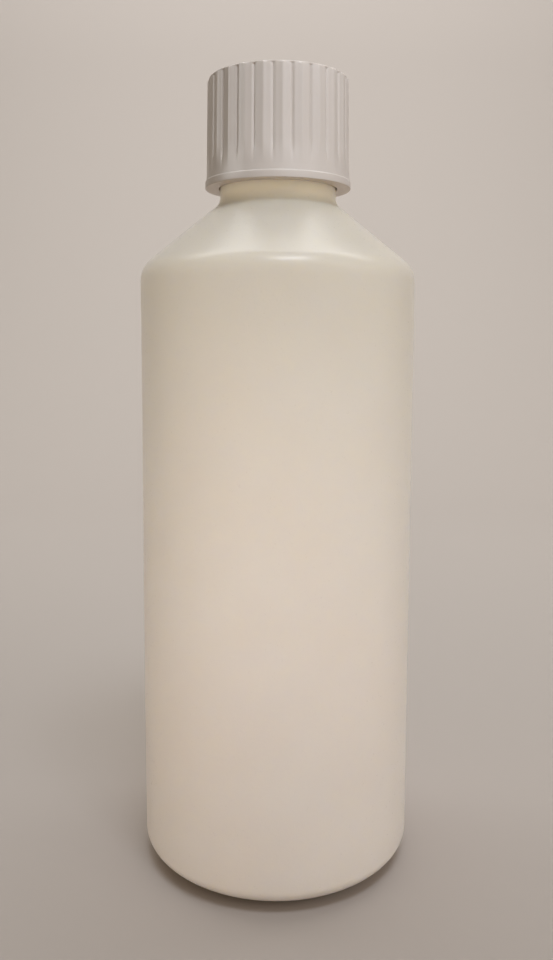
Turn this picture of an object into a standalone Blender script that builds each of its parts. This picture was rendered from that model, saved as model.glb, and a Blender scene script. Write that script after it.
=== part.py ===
"""Round half-litre laboratory bottle with a ribbed screw cap.

Three separate pieces, as they come apart on a bench:
  bottle     blow-moulded body, shoulder and threaded neck, open at the mouth
  screw_cap  ribbed cap with a flange, threaded inside
  cap_liner  foam disc that seals the cap against the neck's rim

Metres, +Z up. The origin is the centre of the ring that the bottle stands on.
The cap turns and climbs about +Z on a right-hand thread.
"""

import math

import bmesh
import bpy

MM = 0.001

# Bottle body
BODY_RADIUS = 34.0 * MM
HEEL_RADIUS = 33.8 * MM
HEEL_WIDTH = 13.1 * MM
HEEL_HEIGHT = 6.3 * MM
SHOULDER_CORNER_HEIGHT = 148.5 * MM
SHOULDER_CORNER_ROUND = 6.4 * MM
SHOULDER_SLOPE = math.radians(39.4)
BODY_WALL = 1.0 * MM

# Base
STANDING_RING_WIDTH = 2.8 * MM
PUSH_UP_HEIGHT = 3.0 * MM
PUSH_UP_FLAT_RADIUS = 9.0 * MM
BASE_WALL = 1.3 * MM

# Neck
NECK_RADIUS = 14.25 * MM
NECK_ROOT_RADIUS = 13.1 * MM
NECK_BORE_RADIUS = 11.1 * MM
NECK_FOOT_ROUND = 2.5 * MM
COLLAR_TOP_HEIGHT = 170.8 * MM
COLLAR_TAPER_HEIGHT = 1.6 * MM
RIM_ROUND = 0.5 * MM

# Cap
CAP_TOP_HEIGHT = 194.5 * MM
CAP_HEIGHT = 26.2 * MM
CAP_TOP_WALL = 1.5 * MM
CAP_TOP_RADIUS = 17.35 * MM
CAP_FOOT_RADIUS = 17.65 * MM
CAP_EDGE_ROUND = 0.7 * MM
CAP_INNER_RADIUS = 14.6 * MM
FLANGE_RADIUS = 18.0 * MM
FLANGE_HEIGHT = 1.6 * MM
FLARE_HEIGHT = 1.5 * MM
FLANGE_ROUND = 0.2 * MM

# Ribs around the cap, and how far the cap is turned when it is screwed home
RIB_COUNT = 24
RIB_STEPS = 3
GROOVE_DEPTH = 0.75 * MM
GROOVE_FOOT_HEIGHT = 3.9 * MM
GROOVE_FADE_LENGTH = 4.2 * MM
CAP_TURN = math.radians(-4)

# Liner
LINER_RADIUS = 14.0 * MM
LINER_THICKNESS = 1.5 * MM
RUNNING_GAP = 0.3 * MM

# Right-hand thread, one start, six turns to the inch
THREAD_LEAD = 25.4 / 6 * MM
THREAD_BEAD_RADIUS = 1.15 * MM
NECK_BEAD_CENTRE = 13.0 * MM
CAP_BEAD_CENTRE = 14.65 * MM
NECK_THREAD_TURNS = 2.25
CAP_THREAD_TURNS = 1.75
NECK_THREAD_BELOW_RIM = 2.4 * MM
THREAD_STEPS_PER_TURN = 32
THREAD_FADE_STEPS = 4
THREAD_END_SCALE = 0.04

# How finely round things are divided
BOTTLE_SEGMENTS = 48
LINER_SEGMENTS = 48
CORNER_STEPS = 3
HEEL_STEPS = 6
WELD = 0.000001

# Levels worked out from the sizes above
LINER_TOP = CAP_TOP_HEIGHT - CAP_TOP_WALL - RUNNING_GAP
RIM_HEIGHT = LINER_TOP - LINER_THICKNESS - RUNNING_GAP
CAP_BOTTOM = CAP_TOP_HEIGHT - CAP_HEIGHT
NECK_FOOT_HEIGHT = SHOULDER_CORNER_HEIGHT + (BODY_RADIUS - NECK_RADIUS) * math.tan(SHOULDER_SLOPE)
THREAD_TOP = RIM_HEIGHT - NECK_THREAD_BELOW_RIM

PART_COLLECTION = "wash_bottle"
CUTTER_COLLECTION = "cutters"


def clear_scene():
    for thing in list(bpy.data.objects):
        bpy.data.objects.remove(thing, do_unlink=True)


def new_collection(name):
    collection = bpy.data.collections.new(name)
    bpy.context.scene.collection.children.link(collection)
    return collection


def plastic(name, colour, roughness):
    material = bpy.data.materials.new(name)
    material.use_nodes = True
    shader = material.node_tree.nodes["Principled BSDF"]
    shader.inputs["Base Color"].default_value = (*colour, 1.0)
    shader.inputs["Roughness"].default_value = roughness
    shader.inputs["Metallic"].default_value = 0.0
    return material


def rounded(corners, steps=CORNER_STEPS):
    """Points of an outline given as (radius, height, rounding) corners, with each rounding as an arc."""
    points = [corners[0][:2]]
    for before, corner, after in zip(corners, corners[1:], corners[2:]):
        radius, height, rounding = corner
        if rounding == 0:
            points.append((radius, height))
            continue
        back = math.atan2(before[1] - height, before[0] - radius)
        onward = math.atan2(after[1] - height, after[0] - radius)
        opening = (onward - back + math.pi) % (2 * math.pi) - math.pi
        reach = rounding / math.sin(abs(opening) / 2)
        middle = back + opening / 2
        centre = (radius + reach * math.cos(middle), height + reach * math.sin(middle))
        sweep = math.copysign(math.pi - abs(opening), opening)
        for step in range(steps + 1):
            angle = middle + math.pi + sweep * (0.5 - step / steps)
            points.append((centre[0] + rounding * math.cos(angle), centre[1] + rounding * math.sin(angle)))
    points.append(corners[-1][:2])
    return points


def heel_curve(centre, width, height, steps=HEEL_STEPS):
    """Quarter ellipse from the side wall down to the base."""
    turns = [step / steps * math.pi / 2 for step in range(steps + 1)]
    return [(centre[0] + width * math.cos(a), centre[1] - height * math.sin(a)) for a in turns]


def link(name, mesh, collection):
    piece = bpy.data.objects.new(name, mesh)
    collection.objects.link(piece)
    return piece


def turned(name, outline, segments, collection):
    """A solid of revolution about Z: the outline runs down its outer side from top to bottom."""
    mesh = bpy.data.meshes.new(name)
    vertices = [(radius, 0.0, height) for radius, height in outline]
    edges = [(i, i + 1) for i in range(len(outline) - 1)]
    mesh.from_pydata(vertices, edges, [])
    piece = link(name, mesh, collection)
    screw = piece.modifiers.new("turn", "SCREW")
    screw.axis = "Z"
    screw.angle = 2 * math.pi
    screw.steps = segments
    screw.render_steps = segments
    screw.use_merge_vertices = True
    screw.merge_threshold = WELD
    screw.use_smooth_shade = True
    return piece


def as_mesh(source, name, collection, weld=WELD):
    """A welded mesh object of what the source looks like with its modifiers, in place of the source."""
    bpy.context.view_layer.update()
    evaluated = source.evaluated_get(bpy.context.evaluated_depsgraph_get())
    mesh = bpy.data.meshes.new_from_object(evaluated)
    matrix = source.matrix_world.copy()
    bpy.data.objects.remove(source, do_unlink=True)
    surface = bmesh.new()
    surface.from_mesh(mesh)
    bmesh.ops.remove_doubles(surface, verts=surface.verts, dist=weld)
    surface.to_mesh(mesh)
    surface.free()
    piece = link(name, mesh, collection)
    piece.name = name
    piece.matrix_world = matrix
    return piece


def thread_bead(name, centre_radius, start_height, turns, collection):
    """A round bead along a right-hand helix that falls from start_height and fades out at both ends."""
    count = round(turns * THREAD_STEPS_PER_TURN)
    curve = bpy.data.curves.new(name, "CURVE")
    curve.dimensions = "3D"
    curve.twist_mode = "Z_UP"
    curve.bevel_depth = THREAD_BEAD_RADIUS
    curve.bevel_resolution = 2
    curve.use_fill_caps = True
    spline = curve.splines.new("POLY")
    spline.points.add(count)
    for step, point in enumerate(spline.points):
        angle = -step / THREAD_STEPS_PER_TURN * 2 * math.pi
        height = start_height + THREAD_LEAD * angle / (2 * math.pi)
        point.co = (centre_radius * math.cos(angle), centre_radius * math.sin(angle), height, 1.0)
        fade = min(step, count - step) / THREAD_FADE_STEPS
        point.radius = max(THREAD_END_SCALE, min(1.0, fade))
    wire = link(name + "_path", curve, collection)
    bead = as_mesh(wire, name, collection)
    bead.hide_render = True
    bead.display_type = "WIRE"
    return bead


def add_bead(piece, bead):
    union = piece.modifiers.new("thread", "BOOLEAN")
    union.operation = "UNION"
    union.solver = "EXACT"
    union.object = bead


def inner_cone_height(radius):
    """Height of the shoulder's inner face at a radius."""
    drop = BODY_WALL / math.cos(SHOULDER_SLOPE)
    return NECK_FOOT_HEIGHT - drop + (NECK_RADIUS - radius) * math.tan(SHOULDER_SLOPE)


def bottle_outline():
    """From the inner floor's centre, up inside, over the rim, and down outside to the base's centre."""
    inner_wall = BODY_RADIUS - BODY_WALL
    ring_outer = HEEL_RADIUS - HEEL_WIDTH
    ring_inner = ring_outer - STANDING_RING_WIDTH
    inside_heel = heel_curve(
        (ring_outer, HEEL_HEIGHT), HEEL_WIDTH - BODY_WALL, HEEL_HEIGHT - BASE_WALL
    )
    inside = rounded(
        [
            (0.0, PUSH_UP_HEIGHT + BASE_WALL, 0),
            (PUSH_UP_FLAT_RADIUS, PUSH_UP_HEIGHT + BASE_WALL, 4 * MM),
            (ring_inner, BASE_WALL, 1 * MM),
            inside_heel[-1] + (0,),
        ]
    )
    inside += inside_heel[-2::-1]
    inside += rounded(
        [
            inside_heel[0] + (0,),
            (inner_wall, inner_cone_height(inner_wall), SHOULDER_CORNER_ROUND - BODY_WALL),
            (NECK_BORE_RADIUS, inner_cone_height(NECK_BORE_RADIUS), 3 * MM),
            (NECK_BORE_RADIUS, RIM_HEIGHT, RIM_ROUND),
            (NECK_ROOT_RADIUS, RIM_HEIGHT, RIM_ROUND),
            (NECK_ROOT_RADIUS, COLLAR_TOP_HEIGHT + COLLAR_TAPER_HEIGHT, 0),
            (NECK_RADIUS, COLLAR_TOP_HEIGHT, 0),
            (NECK_RADIUS, NECK_FOOT_HEIGHT, NECK_FOOT_ROUND),
            (BODY_RADIUS, SHOULDER_CORNER_HEIGHT, SHOULDER_CORNER_ROUND),
            (HEEL_RADIUS, HEEL_HEIGHT, 0),
        ]
    )[1:]
    outside = heel_curve((ring_outer, HEEL_HEIGHT), HEEL_WIDTH, HEEL_HEIGHT)[1:]
    outside += rounded(
        [
            (ring_outer, 0.0, 0),
            (ring_inner, 0.0, 1 * MM),
            (PUSH_UP_FLAT_RADIUS, PUSH_UP_HEIGHT, 4 * MM),
            (0.0, PUSH_UP_HEIGHT, 0),
        ]
    )[1:]
    return inside + outside


def make_bottle(parts, tools):
    bottle = turned("bottle", bottle_outline(), BOTTLE_SEGMENTS, parts)
    bead = thread_bead("neck_thread", NECK_BEAD_CENTRE, THREAD_TOP, NECK_THREAD_TURNS, tools)
    add_bead(bottle, bead)
    bottle.data.materials.append(plastic("natural_polyethylene", (0.80, 0.77, 0.70), 0.42))
    return bottle


def skirt_radius(height):
    """Radius of the cap's outer skirt, which narrows evenly from its foot to its top."""
    foot = CAP_BOTTOM + FLANGE_HEIGHT + FLARE_HEIGHT
    share = (height - foot) / (CAP_TOP_HEIGHT - foot)
    return CAP_FOOT_RADIUS + share * (CAP_TOP_RADIUS - CAP_FOOT_RADIUS)


def cap_outline():
    """From the top plate's inner centre, down inside, round the foot, up outside, and over the top."""
    plate = CAP_TOP_HEIGHT - CAP_TOP_WALL
    flange_top = CAP_BOTTOM + FLANGE_HEIGHT
    groove_foot = CAP_BOTTOM + GROOVE_FOOT_HEIGHT
    full_groove = groove_foot + GROOVE_FADE_LENGTH
    outline = rounded(
        [
            (0.0, plate, 0),
            (CAP_INNER_RADIUS, plate, 0.25 * MM),
            (CAP_INNER_RADIUS, CAP_BOTTOM, 0.2 * MM),
            (FLANGE_RADIUS, CAP_BOTTOM, FLANGE_ROUND),
            (FLANGE_RADIUS, flange_top, 0),
            (CAP_FOOT_RADIUS, flange_top + FLARE_HEIGHT, 0),
            (skirt_radius(groove_foot), groove_foot, 0),
            (skirt_radius(full_groove), full_groove, 0),
            (CAP_TOP_RADIUS, CAP_TOP_HEIGHT, CAP_EDGE_ROUND),
            (0.0, CAP_TOP_HEIGHT, 0),
        ]
    )
    return outline[::-1]


def cut_grooves(cap):
    """Draws the outer skirt in between the ribs, deeper towards the top and nothing at the flange."""
    groove_foot = CAP_BOTTOM + GROOVE_FOOT_HEIGHT
    skirt_inside = (CAP_INNER_RADIUS + CAP_TOP_RADIUS) / 2
    for vertex in cap.data.vertices:
        radius = math.hypot(vertex.co.x, vertex.co.y)
        if radius < skirt_inside or vertex.co.z < groove_foot:
            continue
        share = min(1.0, (vertex.co.z - groove_foot) / GROOVE_FADE_LENGTH)
        turn = math.atan2(vertex.co.y, vertex.co.x) / (2 * math.pi) * RIB_COUNT
        in_groove = abs(turn - round(turn)) < 0.5 / RIB_STEPS
        if in_groove:
            scale = 1 - share * GROOVE_DEPTH / radius
            vertex.co.x *= scale
            vertex.co.y *= scale


def make_cap(parts, tools):
    blank = turned("cap_blank", cap_outline(), RIB_COUNT * RIB_STEPS, parts)
    cap = as_mesh(blank, "screw_cap", parts)
    cap.rotation_euler.z = CAP_TURN
    cut_grooves(cap)
    cap_thread_top = THREAD_TOP - THREAD_LEAD / 2
    bead = thread_bead("cap_thread", CAP_BEAD_CENTRE, cap_thread_top, CAP_THREAD_TURNS, tools)
    add_bead(cap, bead)
    cap.data.materials.append(plastic("white_polypropylene", (0.86, 0.83, 0.79), 0.35))
    return cap


def make_liner(parts):
    outline = rounded(
        [
            (0.0, LINER_TOP, 0),
            (LINER_RADIUS, LINER_TOP, 0.2 * MM),
            (LINER_RADIUS, LINER_TOP - LINER_THICKNESS, 0.2 * MM),
            (0.0, LINER_TOP - LINER_THICKNESS, 0),
        ],
        steps=1,
    )
    liner = turned("cap_liner", outline, LINER_SEGMENTS, parts)
    liner.data.materials.append(plastic("foam_liner", (0.88, 0.88, 0.86), 0.6))
    return liner


def main():
    clear_scene()
    parts = new_collection(PART_COLLECTION)
    tools = new_collection(CUTTER_COLLECTION)
    make_bottle(parts, tools)
    make_cap(parts, tools)
    make_liner(parts)


main()
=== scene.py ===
"""Looks of the round laboratory bottle with its ribbed screw cap.

Fine surfaces, materials, light and camera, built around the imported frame.
"""

import math

import bpy
import numpy as np
from mathutils import Matrix, Vector


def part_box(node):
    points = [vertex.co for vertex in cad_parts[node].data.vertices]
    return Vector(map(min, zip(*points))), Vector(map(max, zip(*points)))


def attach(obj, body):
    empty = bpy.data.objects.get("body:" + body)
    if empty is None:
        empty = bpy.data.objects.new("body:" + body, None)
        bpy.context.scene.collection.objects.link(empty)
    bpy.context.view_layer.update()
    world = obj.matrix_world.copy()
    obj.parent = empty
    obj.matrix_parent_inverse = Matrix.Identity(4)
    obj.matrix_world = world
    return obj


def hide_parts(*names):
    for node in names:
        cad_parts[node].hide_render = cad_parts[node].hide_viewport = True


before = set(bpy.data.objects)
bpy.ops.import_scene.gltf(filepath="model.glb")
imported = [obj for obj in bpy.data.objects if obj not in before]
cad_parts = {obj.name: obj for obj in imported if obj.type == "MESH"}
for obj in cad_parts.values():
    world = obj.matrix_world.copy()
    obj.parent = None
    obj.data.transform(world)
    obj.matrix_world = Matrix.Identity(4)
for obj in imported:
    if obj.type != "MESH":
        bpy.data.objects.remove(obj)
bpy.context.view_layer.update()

MM = 0.001
TURN = 2 * math.pi

# ---------------------------------------------------------------- sizes read from the frame
BOTTLE_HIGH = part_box("bottle")[1]
CAP_LOW, CAP_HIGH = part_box("screw_cap")
LINER_LOW, LINER_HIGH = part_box("cap_liner")

BODY_RADIUS = BOTTLE_HIGH.x
RIM_HEIGHT = BOTTLE_HIGH.z
CAP_BOTTOM = CAP_LOW.z
CAP_TOP = CAP_HIGH.z
LINER_RADIUS = LINER_HIGH.x

# ---------------------------------------------------------------- sizes of the bottle's moulding
HEEL_RADIUS = BODY_RADIUS - 0.2 * MM
HEEL_WIDTH = 13.1 * MM
HEEL_HEIGHT = 6.3 * MM
SHOULDER_CORNER_HEIGHT = 148.5 * MM
SHOULDER_CORNER_ROUND = 6.4 * MM
SHOULDER_SLOPE = math.radians(39.4)
BODY_WALL = 1.0 * MM
BASE_WALL = 1.3 * MM
STANDING_RING_WIDTH = 2.8 * MM
PUSH_UP_HEIGHT = 3.0 * MM
PUSH_UP_FLAT_RADIUS = 9.0 * MM
NECK_RADIUS = 14.25 * MM
NECK_ROOT_RADIUS = 13.1 * MM
NECK_BORE_RADIUS = 11.1 * MM
NECK_FOOT_ROUND = 4.0 * MM
COLLAR_TOP_HEIGHT = 170.8 * MM
COLLAR_TAPER_HEIGHT = 1.6 * MM
SHOULDER_RISE = (BODY_RADIUS - NECK_RADIUS) * math.tan(SHOULDER_SLOPE)
NECK_FOOT_HEIGHT = SHOULDER_CORNER_HEIGHT + SHOULDER_RISE
BOTTLE_SEGMENTS = 192

# Fine relief of the moulding: parting lines at the two sides, waves of the wall, pinch-off line
PARTING_ANGLES = (0.0, math.pi)
PARTING_LINE_HEIGHT = 0.10 * MM
PARTING_LINE_WIDTH = 0.28 * MM
PARTING_LINE_SPACING = 0.22 * MM
WAVE_HEIGHT = 0.045 * MM
PINCH_OFF_HEIGHT = 0.45 * MM
PINCH_OFF_WIDTH = 0.45 * MM

# ---------------------------------------------------------------- sizes of the cap
CAP_TOP_WALL = 1.5 * MM
CAP_TOP_RADIUS = 17.35 * MM
CAP_FOOT_RADIUS = 17.65 * MM
CAP_EDGE_ROUND = 0.6 * MM
CAP_INNER_RADIUS = 14.6 * MM
RECESS_RADIUS = 9.2 * MM
RECESS_FLOOR_RADIUS = 8.8 * MM
RECESS_DEPTH = 0.15 * MM
GATE_RADIUS = 1.3 * MM
GATE_FLOOR_RADIUS = 0.9 * MM
GATE_DEPTH = 0.45 * MM
FLANGE_RADIUS = CAP_HIGH.x
FLANGE_HEIGHT = 1.6 * MM
FLARE_HEIGHT = 1.7 * MM
CAP_TURN = math.radians(-4)

# Ribs: widths are shares of half a rib, heights of the grooves are above the cap's bottom
RIB_COUNT = 24
RIB_DIVISIONS = 20
FLANK_DEPTH = 0.25 * MM
RIDGE_ROUND = 0.10
BEAD_HEIGHT = 0.13 * MM
BEAD_WIDTH = 0.26
NOTCH_DEPTH = 0.26 * MM
NOTCH_WIDTH = 0.13
GROOVE_LOW = 2.6 * MM
GROOVE_FULL = 9.4 * MM
GROOVE_TOP_FADE = 0.35 * MM

# ---------------------------------------------------------------- sizes of the liner
LINER_EDGE_ROUND = 0.25 * MM
LINER_SEGMENTS = 144
RIM_PRINT_DEPTH = 0.12 * MM
RIM_PRINT_WIDTH = 0.9 * MM
CELL_RELIEF = 0.012 * MM

# ---------------------------------------------------------------- thread
THREAD_LEAD = 25.4 / 6 * MM
THREAD_HEIGHT = 1.05 * MM
THREAD_HALF_WIDTH = 1.15 * MM
NECK_THREAD_TURNS = 2.25
CAP_THREAD_TURNS = 1.75
THREAD_TOP = RIM_HEIGHT - 2.4 * MM
THREAD_FADE = math.radians(40)


# ================================================================ outlines
def arc_points(centre, rounding, start, sweep, steps):
    angles = [start + sweep * step / steps for step in range(steps + 1)]
    x, y = centre
    return [(x + rounding * math.cos(a), y + rounding * math.sin(a)) for a in angles]


def rounded(corners, steps=8):
    """Points of an outline of (radius, height, rounding) corners, with each rounding as an arc."""
    points = [corners[0][:2]]
    for before, corner, after in zip(corners, corners[1:], corners[2:]):
        radius, height, rounding = corner
        if rounding == 0:
            points.append((radius, height))
            continue
        back = math.atan2(before[1] - height, before[0] - radius)
        onward = math.atan2(after[1] - height, after[0] - radius)
        opening = (onward - back + math.pi) % TURN - math.pi
        reach = rounding / math.sin(abs(opening) / 2)
        middle = back + opening / 2
        centre = (radius + reach * math.cos(middle), height + reach * math.sin(middle))
        sweep = math.copysign(math.pi - abs(opening), opening)
        points += arc_points(centre, rounding, middle + math.pi + sweep / 2, -sweep, steps)
    points.append(corners[-1][:2])
    return points


def heel_curve(centre, width, height, steps=16):
    """Quarter ellipse from the side wall down to the base."""
    turns = [step / steps * math.pi / 2 for step in range(steps + 1)]
    return [(centre[0] + width * math.cos(a), centre[1] - height * math.sin(a)) for a in turns]


def divided(points, spacing):
    """The outline with its runs divided, so that none is longer than spacing(height, radius)."""
    fine = [points[0]]
    for start, end in zip(points, points[1:]):
        length = math.dist(start, end)
        if length < 1e-7:
            continue
        limit = spacing((start[1] + end[1]) / 2, start[0])
        count = max(1, math.ceil(length / limit))
        for step in range(1, count + 1):
            share = step / count
            fine.append(tuple(a + share * (b - a) for a, b in zip(start, end)))
    return np.array(fine)


# ================================================================ turned surfaces with relief
def turn_angles(segments, fine_at=(), fine_offsets=()):
    """Angles of the meridians: evenly spaced, and closer around the angles with a fine line."""
    even = [TURN * k / segments for k in range(segments)]
    steps = [side * offset for offset in fine_offsets for side in (-1, 1)]
    close = [(a + step) % TURN for a in fine_at for step in steps]
    close += [a % TURN for a in fine_at]
    kept = sorted(set(round(a, 6) for a in close))
    gap = TURN / segments * 0.3
    for angle in even:
        if all(abs((angle - other + math.pi) % TURN - math.pi) > gap for other in close):
            kept.append(round(angle, 6))
    return np.array(sorted(kept))


def outline_normals(outline):
    """Unit normals of the outline, pointing to its left as it runs, which is out of the solid."""
    along = np.gradient(outline, axis=0)
    along /= np.maximum(np.linalg.norm(along, axis=1, keepdims=True), 1e-12)
    return np.column_stack([-along[:, 1], along[:, 0]])


def lathe(name, outline, angles, relief=None):
    """A closed solid of revolution whose first and last points lie on the axis.

    relief(angle, radius, height, row) gives how far the surface stands proud along its normal.
    """
    rows = outline[1:-1]
    normals = outline_normals(outline)[1:-1]
    columns = len(angles)
    angle, radius = np.meshgrid(angles, rows[:, 0])
    height = np.repeat(rows[:, 1][:, None], columns, axis=1)
    row = np.repeat(np.arange(len(rows))[:, None], columns, axis=1)
    lift = np.zeros_like(radius) if relief is None else relief(angle, radius, height, row)
    radius = radius + lift * normals[:, 0][:, None]
    height = height + lift * normals[:, 1][:, None]
    ring = np.stack([radius * np.cos(angle), radius * np.sin(angle), height], axis=-1)
    ring = ring.reshape(-1, 3)
    first = len(ring)
    last = first + 1
    points = np.vstack([ring, [[0, 0, outline[0][1]], [0, 0, outline[-1][1]]]])
    faces = []
    for i in range(len(rows) - 1):
        here = i * columns
        below = here + columns
        for j in range(columns):
            k = (j + 1) % columns
            faces.append((here + j, below + j, below + k, here + k))
    bottom = (len(rows) - 1) * columns
    for j in range(columns):
        k = (j + 1) % columns
        faces.append((first, j, k))
        faces.append((last, bottom + k, bottom + j))
    mesh = bpy.data.meshes.new(name)
    mesh.from_pydata(points.tolist(), [], faces)
    mesh.validate()
    piece = bpy.data.objects.new(name, mesh)
    bpy.context.scene.collection.objects.link(piece)
    return piece


def smooth(piece, sharp_angle):
    piece.data.shade_smooth()
    piece.data.set_sharp_from_angle(angle=sharp_angle)


def bump(distance, width):
    """A smooth hump, 1 at distance 0."""
    return np.exp(-((distance / width) ** 2))


def ease(value):
    share = np.clip(value, 0.0, 1.0)
    return share * share * (3 - 2 * share)


def thread_ridge(angle, height, top, turns, half_width):
    """Height, from 0 to 1, of a right-hand helix that falls from top and fades at both ends."""
    ridge = np.zeros_like(height)
    travel = (-angle) % TURN
    for lap in range(math.ceil(turns) + 1):
        along = travel + lap * TURN
        centre = top - THREAD_LEAD * along / TURN
        fade = ease(along / THREAD_FADE) * ease((turns * TURN - along) / THREAD_FADE)
        offset = np.abs(height - centre) / half_width
        section = np.sqrt(np.clip(1 - offset**2, 0, 1)) * ease((1 - offset) * 2.5)
        ridge = np.maximum(ridge, section * fade)
    return ridge


# ================================================================ the bottle
def bottle_outline():
    """From the inner floor's centre, up inside, over the rim, and down outside to the base."""
    inner_wall = BODY_RADIUS - BODY_WALL
    ring_outer = HEEL_RADIUS - HEEL_WIDTH
    ring_inner = ring_outer - STANDING_RING_WIDTH
    cone_drop = BODY_WALL / math.cos(SHOULDER_SLOPE)

    def inner_cone(radius):
        return NECK_FOOT_HEIGHT - cone_drop + (NECK_RADIUS - radius) * math.tan(SHOULDER_SLOPE)

    heel_centre = (ring_outer, HEEL_HEIGHT)
    inside_heel = heel_curve(heel_centre, HEEL_WIDTH - BODY_WALL, HEEL_HEIGHT - BASE_WALL)
    outline = rounded(
        [
            (0.0, PUSH_UP_HEIGHT + BASE_WALL, 0),
            (PUSH_UP_FLAT_RADIUS, PUSH_UP_HEIGHT + BASE_WALL, 8 * MM),
            (ring_inner, BASE_WALL, 2 * MM),
            inside_heel[-1] + (0,),
        ]
    )
    outline += inside_heel[-2::-1]
    outline += rounded(
        [
            inside_heel[0] + (0,),
            (inner_wall, inner_cone(inner_wall), SHOULDER_CORNER_ROUND - BODY_WALL),
            (NECK_BORE_RADIUS, inner_cone(NECK_BORE_RADIUS), 3 * MM),
            (NECK_BORE_RADIUS, RIM_HEIGHT, 0.5 * MM),
            (NECK_ROOT_RADIUS, RIM_HEIGHT, 0.5 * MM),
            (NECK_ROOT_RADIUS, COLLAR_TOP_HEIGHT + COLLAR_TAPER_HEIGHT, 1.2 * MM),
            (NECK_RADIUS, COLLAR_TOP_HEIGHT, 0.9 * MM),
            (NECK_RADIUS, NECK_FOOT_HEIGHT, NECK_FOOT_ROUND),
            (BODY_RADIUS, SHOULDER_CORNER_HEIGHT, SHOULDER_CORNER_ROUND),
            (HEEL_RADIUS, HEEL_HEIGHT, 0),
        ]
    )[1:]
    outline += heel_curve(heel_centre, HEEL_WIDTH, HEEL_HEIGHT)[1:]
    outline += rounded(
        [
            (ring_outer, 0.0, 0),
            (ring_inner, 0.0, 1 * MM),
            (PUSH_UP_FLAT_RADIUS, PUSH_UP_HEIGHT, 8 * MM),
            (0.0, PUSH_UP_HEIGHT, 0),
        ]
    )[1:]

    def spacing(height, radius):
        if height > COLLAR_TOP_HEIGHT and radius > (NECK_BORE_RADIUS + NECK_ROOT_RADIUS) / 2:
            return 0.2 * MM
        return 3.0 * MM

    return divided(outline, spacing)


def make_bottle():
    outline = bottle_outline()
    rim_row = int(np.argmax(outline[:, 1]))
    line_offsets = [PARTING_LINE_SPACING / BODY_RADIUS * step for step in (1, 2, 3, 5)]
    angles = turn_angles(BOTTLE_SEGMENTS, PARTING_ANGLES, line_offsets)
    base_corner = HEEL_RADIUS - HEEL_WIDTH

    def relief(angle, radius, height, row):
        outside = row + 1 > rim_row
        side = outside & (height > HEEL_HEIGHT * 0.2)
        across = radius * np.abs(np.sin(angle))

        # The thread is a little lower where the halves of the mould met
        on_finish = outside & (height > COLLAR_TOP_HEIGHT) & (height < RIM_HEIGHT - 0.6 * MM)
        thread = thread_ridge(angle, height, THREAD_TOP, NECK_THREAD_TURNS, THREAD_HALF_WIDTH)
        thread = thread * THREAD_HEIGHT * (1 - 0.35 * bump(across, 0.5 * MM))

        # Parting lines run up the two sides, from just over the base to just under the rim
        above_base = ease((height - 1.0 * MM) / (4 * MM))
        below_rim = ease((RIM_HEIGHT - 1.5 * MM - height) / MM)
        parting_line = PARTING_LINE_HEIGHT * bump(across, PARTING_LINE_WIDTH) * above_base * below_rim

        # The blown wall is faintly uneven between the heel and the shoulder
        waves = np.sin(2 * angle + 0.7) * np.sin(height / (31 * MM))
        waves = waves + 0.6 * np.sin(3 * angle + height / (23 * MM) + 2.1)
        above_heel = ease((height - 12 * MM) / (20 * MM))
        below_shoulder = ease((SHOULDER_CORNER_HEIGHT - height) / (16 * MM))
        waves = WAVE_HEIGHT * waves * above_heel * below_shoulder

        # The pinch-off line crosses the raised middle of the base
        within_base = ease((base_corner - 4.5 * MM - radius) / (2 * MM))
        pinch_off = PINCH_OFF_HEIGHT * bump(across, PINCH_OFF_WIDTH) * within_base

        lift = np.where(side, parting_line + waves, 0.0) + np.where(on_finish, thread, 0.0)
        return lift + np.where(outside & (height < PUSH_UP_HEIGHT + MM), pinch_off, 0.0)

    bottle = lathe("bottle_moulding", outline, angles, relief)
    smooth(bottle, math.radians(40))
    return bottle


# ================================================================ the cap
def cap_outline():
    """From the top's middle, down outside, round the foot, and up inside to under the plate.

    The corners are listed from the other end, so the points are turned round at the end.
    """
    plate = CAP_TOP - CAP_TOP_WALL
    flange_top = CAP_BOTTOM + FLANGE_HEIGHT
    corners = [
        (0.0, plate, 0),
        (CAP_INNER_RADIUS, plate, 0.3 * MM),
        (CAP_INNER_RADIUS, CAP_BOTTOM, 0.25 * MM),
        (FLANGE_RADIUS, CAP_BOTTOM, 0.2 * MM),
        (FLANGE_RADIUS, flange_top, 0.2 * MM),
        (CAP_FOOT_RADIUS + 0.08 * MM, flange_top + 0.25 * MM, 0.25 * MM),
        (CAP_FOOT_RADIUS, flange_top + FLARE_HEIGHT, 2.0 * MM),
        (CAP_TOP_RADIUS, CAP_TOP, CAP_EDGE_ROUND),
        (RECESS_RADIUS, CAP_TOP, 0.3 * MM),
        (RECESS_FLOOR_RADIUS, CAP_TOP - RECESS_DEPTH, 0.3 * MM),
        (GATE_RADIUS, CAP_TOP - RECESS_DEPTH, 0.2 * MM),
        (GATE_FLOOR_RADIUS, CAP_TOP - GATE_DEPTH, 0.2 * MM),
        (0.0, CAP_TOP - GATE_DEPTH, 0),
    ]

    def spacing(height, radius):
        if radius < CAP_INNER_RADIUS * 0.97:
            return 1.2 * MM
        return 0.4 * MM if radius < (CAP_INNER_RADIUS + CAP_TOP_RADIUS) / 2 else 0.7 * MM

    return divided(rounded(corners, steps=6), spacing)[::-1]


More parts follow.
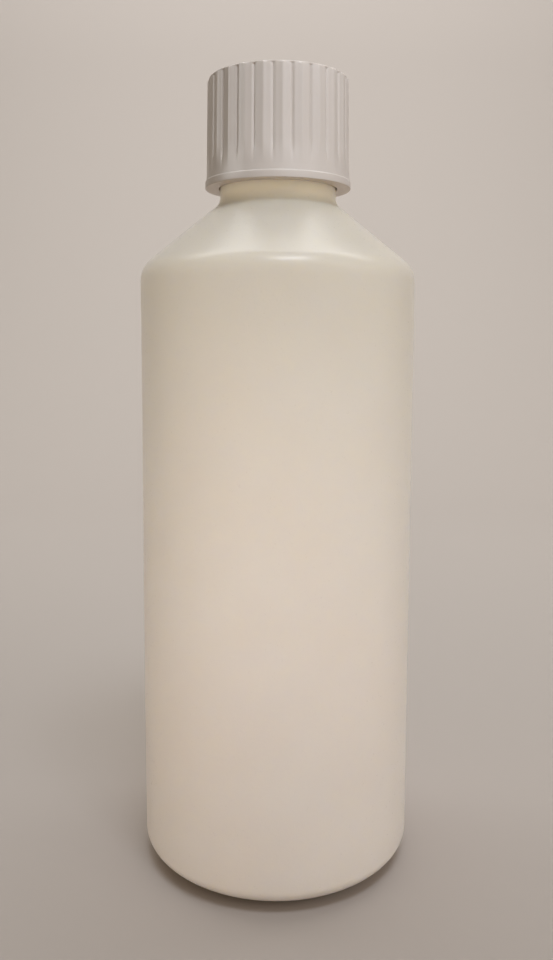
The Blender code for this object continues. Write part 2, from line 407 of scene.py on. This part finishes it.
def make_cap():
    outline = cap_outline()
    foot_row = int(np.argmin(outline[:, 1]))
    angles = turn_angles(RIB_COUNT * RIB_DIVISIONS) + CAP_TURN
    flange_top = CAP_BOTTOM + FLANGE_HEIGHT
    thread_start = THREAD_TOP - THREAD_LEAD / 2

    def relief(angle, radius, height, row):
        outside = (row + 1 < foot_row) & (radius > CAP_INNER_RADIUS)
        inside = (row + 1 > foot_row) & (radius > CAP_INNER_RADIUS - 0.01 * MM)
        rib = ((angle - CAP_TURN) * RIB_COUNT / TURN + 0.5) % 1.0 - 0.5
        below_ridge = 1 - 2 * np.abs(rib)
        flank = np.hypot(below_ridge, RIDGE_ROUND) - RIDGE_ROUND
        groove = FLANK_DEPTH * flank + BEAD_HEIGHT * (1 - bump(below_ridge, BEAD_WIDTH))
        groove = groove + NOTCH_DEPTH * bump(1 - below_ridge, NOTCH_WIDTH)
        depth = ease((height - CAP_BOTTOM - GROOVE_LOW) / (GROOVE_FULL - GROOVE_LOW))
        top_fade = ease((CAP_TOP - height) / GROOVE_TOP_FADE)
        grooves = -groove * depth * top_fade
        thread = thread_ridge(angle, height, thread_start, CAP_THREAD_TURNS, THREAD_HALF_WIDTH)
        thread = np.where(height > flange_top, thread * THREAD_HEIGHT, 0.0)
        return np.where(outside, grooves, 0.0) + np.where(inside, thread, 0.0)

    cap = lathe("ribbed_cap", outline, angles, relief)
    smooth(cap, math.radians(35))
    return cap


# ================================================================ the liner
def make_liner():
    top = LINER_HIGH.z
    low = LINER_LOW.z
    outline = rounded(
        [
            (0.0, top, 0),
            (LINER_RADIUS, top, LINER_EDGE_ROUND),
            (LINER_RADIUS, low, LINER_EDGE_ROUND),
            (0.0, low, 0),
        ],
        steps=5,
    )
    outline = divided(outline, lambda height, radius: 0.35 * MM)

    def relief(angle, radius, height, row):
        under = height < (low + top) / 2
        rim_middle = (NECK_BORE_RADIUS + NECK_ROOT_RADIUS) / 2
        rim_print = RIM_PRINT_DEPTH * bump(radius - rim_middle, RIM_PRINT_WIDTH)
        cells = np.sin(angle * 23 + radius * 9000) * np.sin(angle * 31 - radius * 7000)
        return np.where(under, -rim_print, 0.0) + CELL_RELIEF * cells

    liner = lathe("foam_disc", outline, turn_angles(LINER_SEGMENTS), relief)
    smooth(liner, math.radians(40))
    return liner


# ================================================================ materials
def new_material(name, colour, roughness):
    material = bpy.data.materials.new(name)
    material.use_nodes = True
    shader = material.node_tree.nodes["Principled BSDF"]
    shader.inputs["Base Color"].default_value = (*colour, 1.0)
    shader.inputs["Roughness"].default_value = roughness
    return material, shader


def add_node(material, kind, **values):
    """A node with its unlinked inputs set by name."""
    node = material.node_tree.nodes.new(kind)
    for key, value in values.items():
        node.inputs[key.replace("_", " ")].default_value = value
    return node


def join(material, source, target):
    material.node_tree.links.new(source, target)


def object_space(material, stretch=(1, 1, 1)):
    coordinates = add_node(material, "ShaderNodeTexCoord")
    mapping = add_node(material, "ShaderNodeMapping", Scale=stretch)
    join(material, coordinates.outputs["Object"], mapping.inputs["Vector"])
    return mapping.outputs["Vector"]


def noise(material, vector, scale, detail=3.0, roughness=0.5):
    node = add_node(material, "ShaderNodeTexNoise", Scale=scale, Detail=detail, Roughness=roughness)
    join(material, vector, node.inputs["Vector"])
    return node.outputs["Fac"]


def ramp(material, factor, low, high, low_at=0.35, high_at=0.65):
    """A colour between low and high, as factor goes from low_at to high_at."""
    node = material.node_tree.nodes.new("ShaderNodeValToRGB")
    node.color_ramp.elements[0].position = low_at
    node.color_ramp.elements[0].color = (*low, 1.0)
    node.color_ramp.elements[1].position = high_at
    node.color_ramp.elements[1].color = (*high, 1.0)
    join(material, factor, node.inputs["Fac"])
    return node.outputs["Color"]


def span(material, factor, low, high):
    """A number between low and high, as factor goes from 0 to 1."""
    node = add_node(material, "ShaderNodeMapRange")
    node.inputs["To Min"].default_value = low
    node.inputs["To Max"].default_value = high
    join(material, factor, node.inputs["Value"])
    return node.outputs["Result"]


def share_by_height(material, vector, stops):
    """A share that runs straight from each (height in metres, share) stop to the next."""
    height = add_node(material, "ShaderNodeSeparateXYZ")
    join(material, vector, height.inputs["Vector"])
    node = material.node_tree.nodes.new("ShaderNodeValToRGB")
    elements = node.color_ramp.elements
    while len(elements) < len(stops):
        elements.new(1.0)
    for element, (position, share) in zip(elements, stops):
        element.position = position
        element.color = (share, share, share, 1.0)
    join(material, height.outputs["Z"], node.inputs["Fac"])
    return node.outputs["Color"]


def relief_bump(material, shader, heights):
    """Bump from (height output, depth in metres) pairs, one on top of the other."""
    normal = None
    for height, depth in heights:
        node = add_node(material, "ShaderNodeBump", Strength=1.0, Distance=depth)
        join(material, height, node.inputs["Height"])
        if normal is not None:
            join(material, normal, node.inputs["Normal"])
        normal = node.outputs["Normal"]
    join(material, normal, shader.inputs["Normal"])


def natural_polyethylene():
    """Milky translucent plastic: light goes a little way into the wall, over a fine moulded grain.

    A greener tint is painted by height: painted shade on the neck, and painted bounce light that
    leaves the lower body pinker.
    """
    material, shader = new_material("natural_polyethylene", (0.875, 0.732, 0.64), 0.29)
    vector = object_space(material)
    cloud = noise(material, vector, scale=28.0, detail=3.0, roughness=0.55)
    plain_tone = ramp(material, cloud, (0.863, 0.719, 0.627), (0.887, 0.745, 0.655))
    # A greener copy of the tone, laid on by height below: painted shade on the neck, painted light
    # tint up the body
    painted_light_tint = ramp(material, cloud, (0.853, 0.769, 0.617), (0.877, 0.795, 0.645))
    # Painted tint: none at the heel, nearly half at the shoulder, and all of it in the neck as
    # painted shade under the cap
    neck_low = NECK_FOOT_HEIGHT - 2.5 * MM
    stops = [(50 * MM, 0.0), (140 * MM, 0.45), (neck_low, 0.45), (neck_low + 3 * MM, 1.0)]
    tone = material.node_tree.nodes.new("ShaderNodeMixRGB")
    join(material, share_by_height(material, vector, stops), tone.inputs["Fac"])
    join(material, plain_tone, tone.inputs["Color1"])
    join(material, painted_light_tint, tone.inputs["Color2"])
    join(material, tone.outputs["Color"], shader.inputs["Base Color"])
    shader.inputs["IOR"].default_value = 1.5
    shader.inputs["Subsurface Weight"].default_value = 1.0
    shader.inputs["Subsurface Radius"].default_value = (1.0, 0.95, 0.75)
    shader.inputs["Subsurface Scale"].default_value = 3.0 * MM
    grain = noise(material, vector, scale=1900.0, detail=2.0, roughness=0.6)
    orange_peel = noise(material, vector, scale=420.0, detail=2.0, roughness=0.5)
    join(material, span(material, grain, 0.25, 0.33), shader.inputs["Roughness"])
    relief_bump(material, shader, [(orange_peel, 0.04 * MM), (grain, 0.015 * MM)])
    return material


def white_polypropylene():
    """White injection-moulded plastic with faint flow clouding."""
    material, shader = new_material("white_polypropylene", (0.55, 0.485, 0.435), 0.3)
    vector = object_space(material)
    cloud = noise(material, vector, scale=60.0, detail=3.0, roughness=0.5)
    tone = ramp(material, cloud, (0.54, 0.475, 0.425), (0.56, 0.495, 0.445))
    join(material, tone, shader.inputs["Base Color"])
    shader.inputs["IOR"].default_value = 1.49
    shader.inputs["Subsurface Weight"].default_value = 0.1
    shader.inputs["Subsurface Radius"].default_value = (1.0, 0.85, 0.65)
    shader.inputs["Subsurface Scale"].default_value = 1.2 * MM
    streaks = object_space(material, stretch=(1, 1, 0.25))
    flow = noise(material, streaks, scale=700.0, detail=2.0, roughness=0.5)
    join(material, span(material, flow, 0.26, 0.34), shader.inputs["Roughness"])
    relief_bump(material, shader, [(flow, 0.012 * MM)])
    return material


def foam():
    """White closed-cell foam, matt, with its cells just showing."""
    material, shader = new_material("expanded_foam", (0.86, 0.86, 0.84), 0.75)
    vector = object_space(material)
    cells = add_node(material, "ShaderNodeTexVoronoi", Scale=2600.0)
    join(material, vector, cells.inputs["Vector"])
    distance = cells.outputs["Distance"]
    tone = ramp(material, distance, (0.88, 0.88, 0.87), (0.78, 0.78, 0.76), 0.1, 0.8)
    join(material, tone, shader.inputs["Base Color"])
    patches = noise(material, vector, scale=900.0, detail=2.0, roughness=0.5)
    join(material, span(material, patches, 0.68, 0.82), shader.inputs["Roughness"])
    relief_bump(material, shader, [(distance, 0.06 * MM), (patches, 0.03 * MM)])
    return material


# ================================================================ pieces on their bodies
def place(piece, material, body, node):
    piece.data.materials.append(material)
    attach(piece, body)
    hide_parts(node)


bottle = make_bottle()
place(bottle, natural_polyethylene(), "body", "bottle")
cap = make_cap()
place(cap, white_polypropylene(), "cap", "screw_cap")
place(make_liner(), foam(), "liner", "cap_liner")


# ================================================================ studio
FLOOR_HALF_WIDTH = 3.0
FLOOR_FRONT = -6.0
SWEEP_START = 0.45
SWEEP_RADIUS = 0.5
SWEEP_STEPS = 32
SWEEP_TOP = 1.6
BODY_MIDDLE = (0, 0, 0.1)
CAP_MIDDLE = (0, 0, 0.182)
WORLD_COLOUR = (1.0, 0.91, 0.72)
WORLD_STRENGTH = 0.31
WHITE = (1.0, 1.0, 1.0)
SOFT = (1.0, 0.93, 0.88)
WARM = (1.0, 0.85, 0.68)
COOL = (0.84, 0.90, 1.0)


def make_backdrop():
    """A pale sheet that lies flat under the object and sweeps up behind it."""
    profile = [(FLOOR_FRONT, 0.0), (SWEEP_START, 0.0)]
    centre = (SWEEP_START, SWEEP_RADIUS)
    profile += arc_points(centre, SWEEP_RADIUS, -math.pi / 2, math.pi / 2, SWEEP_STEPS)[1:]
    profile.append((SWEEP_START + SWEEP_RADIUS, SWEEP_TOP))
    points = [(x, y, z) for y, z in profile for x in (-FLOOR_HALF_WIDTH, FLOOR_HALF_WIDTH)]
    faces = [(2 * i, 2 * i + 1, 2 * i + 3, 2 * i + 2) for i in range(len(profile) - 1)]
    mesh = bpy.data.meshes.new("backdrop")
    mesh.from_pydata(points, [], faces)
    mesh.shade_smooth()
    backdrop = bpy.data.objects.new("backdrop", mesh)
    bpy.context.scene.collection.objects.link(backdrop)
    material, shader = new_material("backdrop_paper", (0.50, 0.455, 0.425), 0.85)
    paper = noise(material, object_space(material), scale=900.0, detail=2.0, roughness=0.5)
    relief_bump(material, shader, [(paper, 0.02 * MM)])
    backdrop.data.materials.append(material)


def area_light(name, place_at, aim, size, power, colour, acts="fully", only_on=None, spread=180):
    """A soft light that may act only as "shading" or "reflection", and on one piece alone."""
    data = bpy.data.lights.new(name, "AREA")
    data.shape = "RECTANGLE"
    data.size = size[0]
    data.size_y = size[1]
    data.energy = power
    data.color = colour
    data.spread = math.radians(spread)
    light = bpy.data.objects.new(name, data)
    light.location = place_at
    direction = Vector(aim) - Vector(place_at)
    light.rotation_euler = direction.to_track_quat("-Z", "Y").to_euler()
    light.visible_glossy = acts != "shading"
    light.visible_diffuse = acts != "reflection"
    if only_on is not None:
        receivers = bpy.data.collections.new(name + "_receivers")
        receivers.objects.link(only_on)
        light.light_linking.receiver_collection = receivers
    bpy.context.scene.collection.objects.link(light)


def make_world(colour, strength):
    world = bpy.data.worlds.new("studio")
    world.use_nodes = True
    background = world.node_tree.nodes["Background"]
    background.inputs["Color"].default_value = (*colour, 1.0)
    background.inputs["Strength"].default_value = strength
    bpy.context.scene.world = world


# Camera: in front of the bottle, looking a little down, and rolled a fifth of a degree
CAMERA_DISTANCE = 221.0 * MM
CAMERA_HEIGHT = 130.85 * MM
CAMERA_TILT = math.radians(5.19)
CAMERA_ROLL = math.radians(0.214)
FOCAL_SHARE = 0.9077
SENSOR = 36.0
SHIFT_UP = -0.0617
SHIFT_RIGHT = -0.0006


def make_camera():
    data = bpy.data.cameras.new("camera")
    data.sensor_width = SENSOR
    data.lens = FOCAL_SHARE * SENSOR
    data.shift_x = SHIFT_RIGHT
    data.shift_y = SHIFT_UP
    data.clip_start = 0.01
    camera = bpy.data.objects.new("camera", data)
    stand = Matrix.Translation((0, -CAMERA_DISTANCE, CAMERA_HEIGHT))
    aim = Matrix.Rotation(math.pi / 2 - CAMERA_TILT, 4, "X") @ Matrix.Rotation(CAMERA_ROLL, 4, "Z")
    camera.matrix_world = stand @ aim
    bpy.context.scene.collection.objects.link(camera)
    bpy.context.scene.camera = camera


make_backdrop()
make_world(WORLD_COLOUR, WORLD_STRENGTH)

# Lights: name, place, aim, size, power and colour. The fills end with their spread in degrees
area_light("key", (0.72, -0.65, 0.62), BODY_MIDDLE, (0.7, 0.5), 1.4, WHITE, "shading")
area_light("top", (0.14, -0.48, 1.08), BODY_MIDDLE, (0.4, 0.22), 3.3, COOL)
for name, place_at, aim, size, power, colour, spread in (
    ("left_fill", (-0.28, -0.10, 0.06), (0, 0, 0.06), (0.16, 0.14), 0.034, WARM, 90),
    ("right_fill", (0.39, -0.03, 0.14), (0, 0, 0.07), (0.15, 0.15), 0.046, SOFT, 60),
    ("front_fill", (-0.02, -0.21, 0.085), (0, 0, 0.09), (0.08, 0.08), 0.042, SOFT, 90),
):
    area_light(name, place_at, aim, size, power, colour, "shading", bottle, spread)
area_light("cap_front", (0.13, -0.245, 0.342), CAP_MIDDLE, (0.32, 0.20), 0.82, COOL, "shading", cap)
area_light("cap_left", (-0.48, -0.13, 0.33), CAP_MIDDLE, (0.30, 0.25), 0.6, WHITE, "reflection", cap)
area_light("backdrop_light", (0, 0.25, 0.9), (0, 0.95, 0.35), (1.2, 0.5), 7.5, WHITE)

make_camera()
bpy.context.scene.view_settings.view_transform = "Standard"
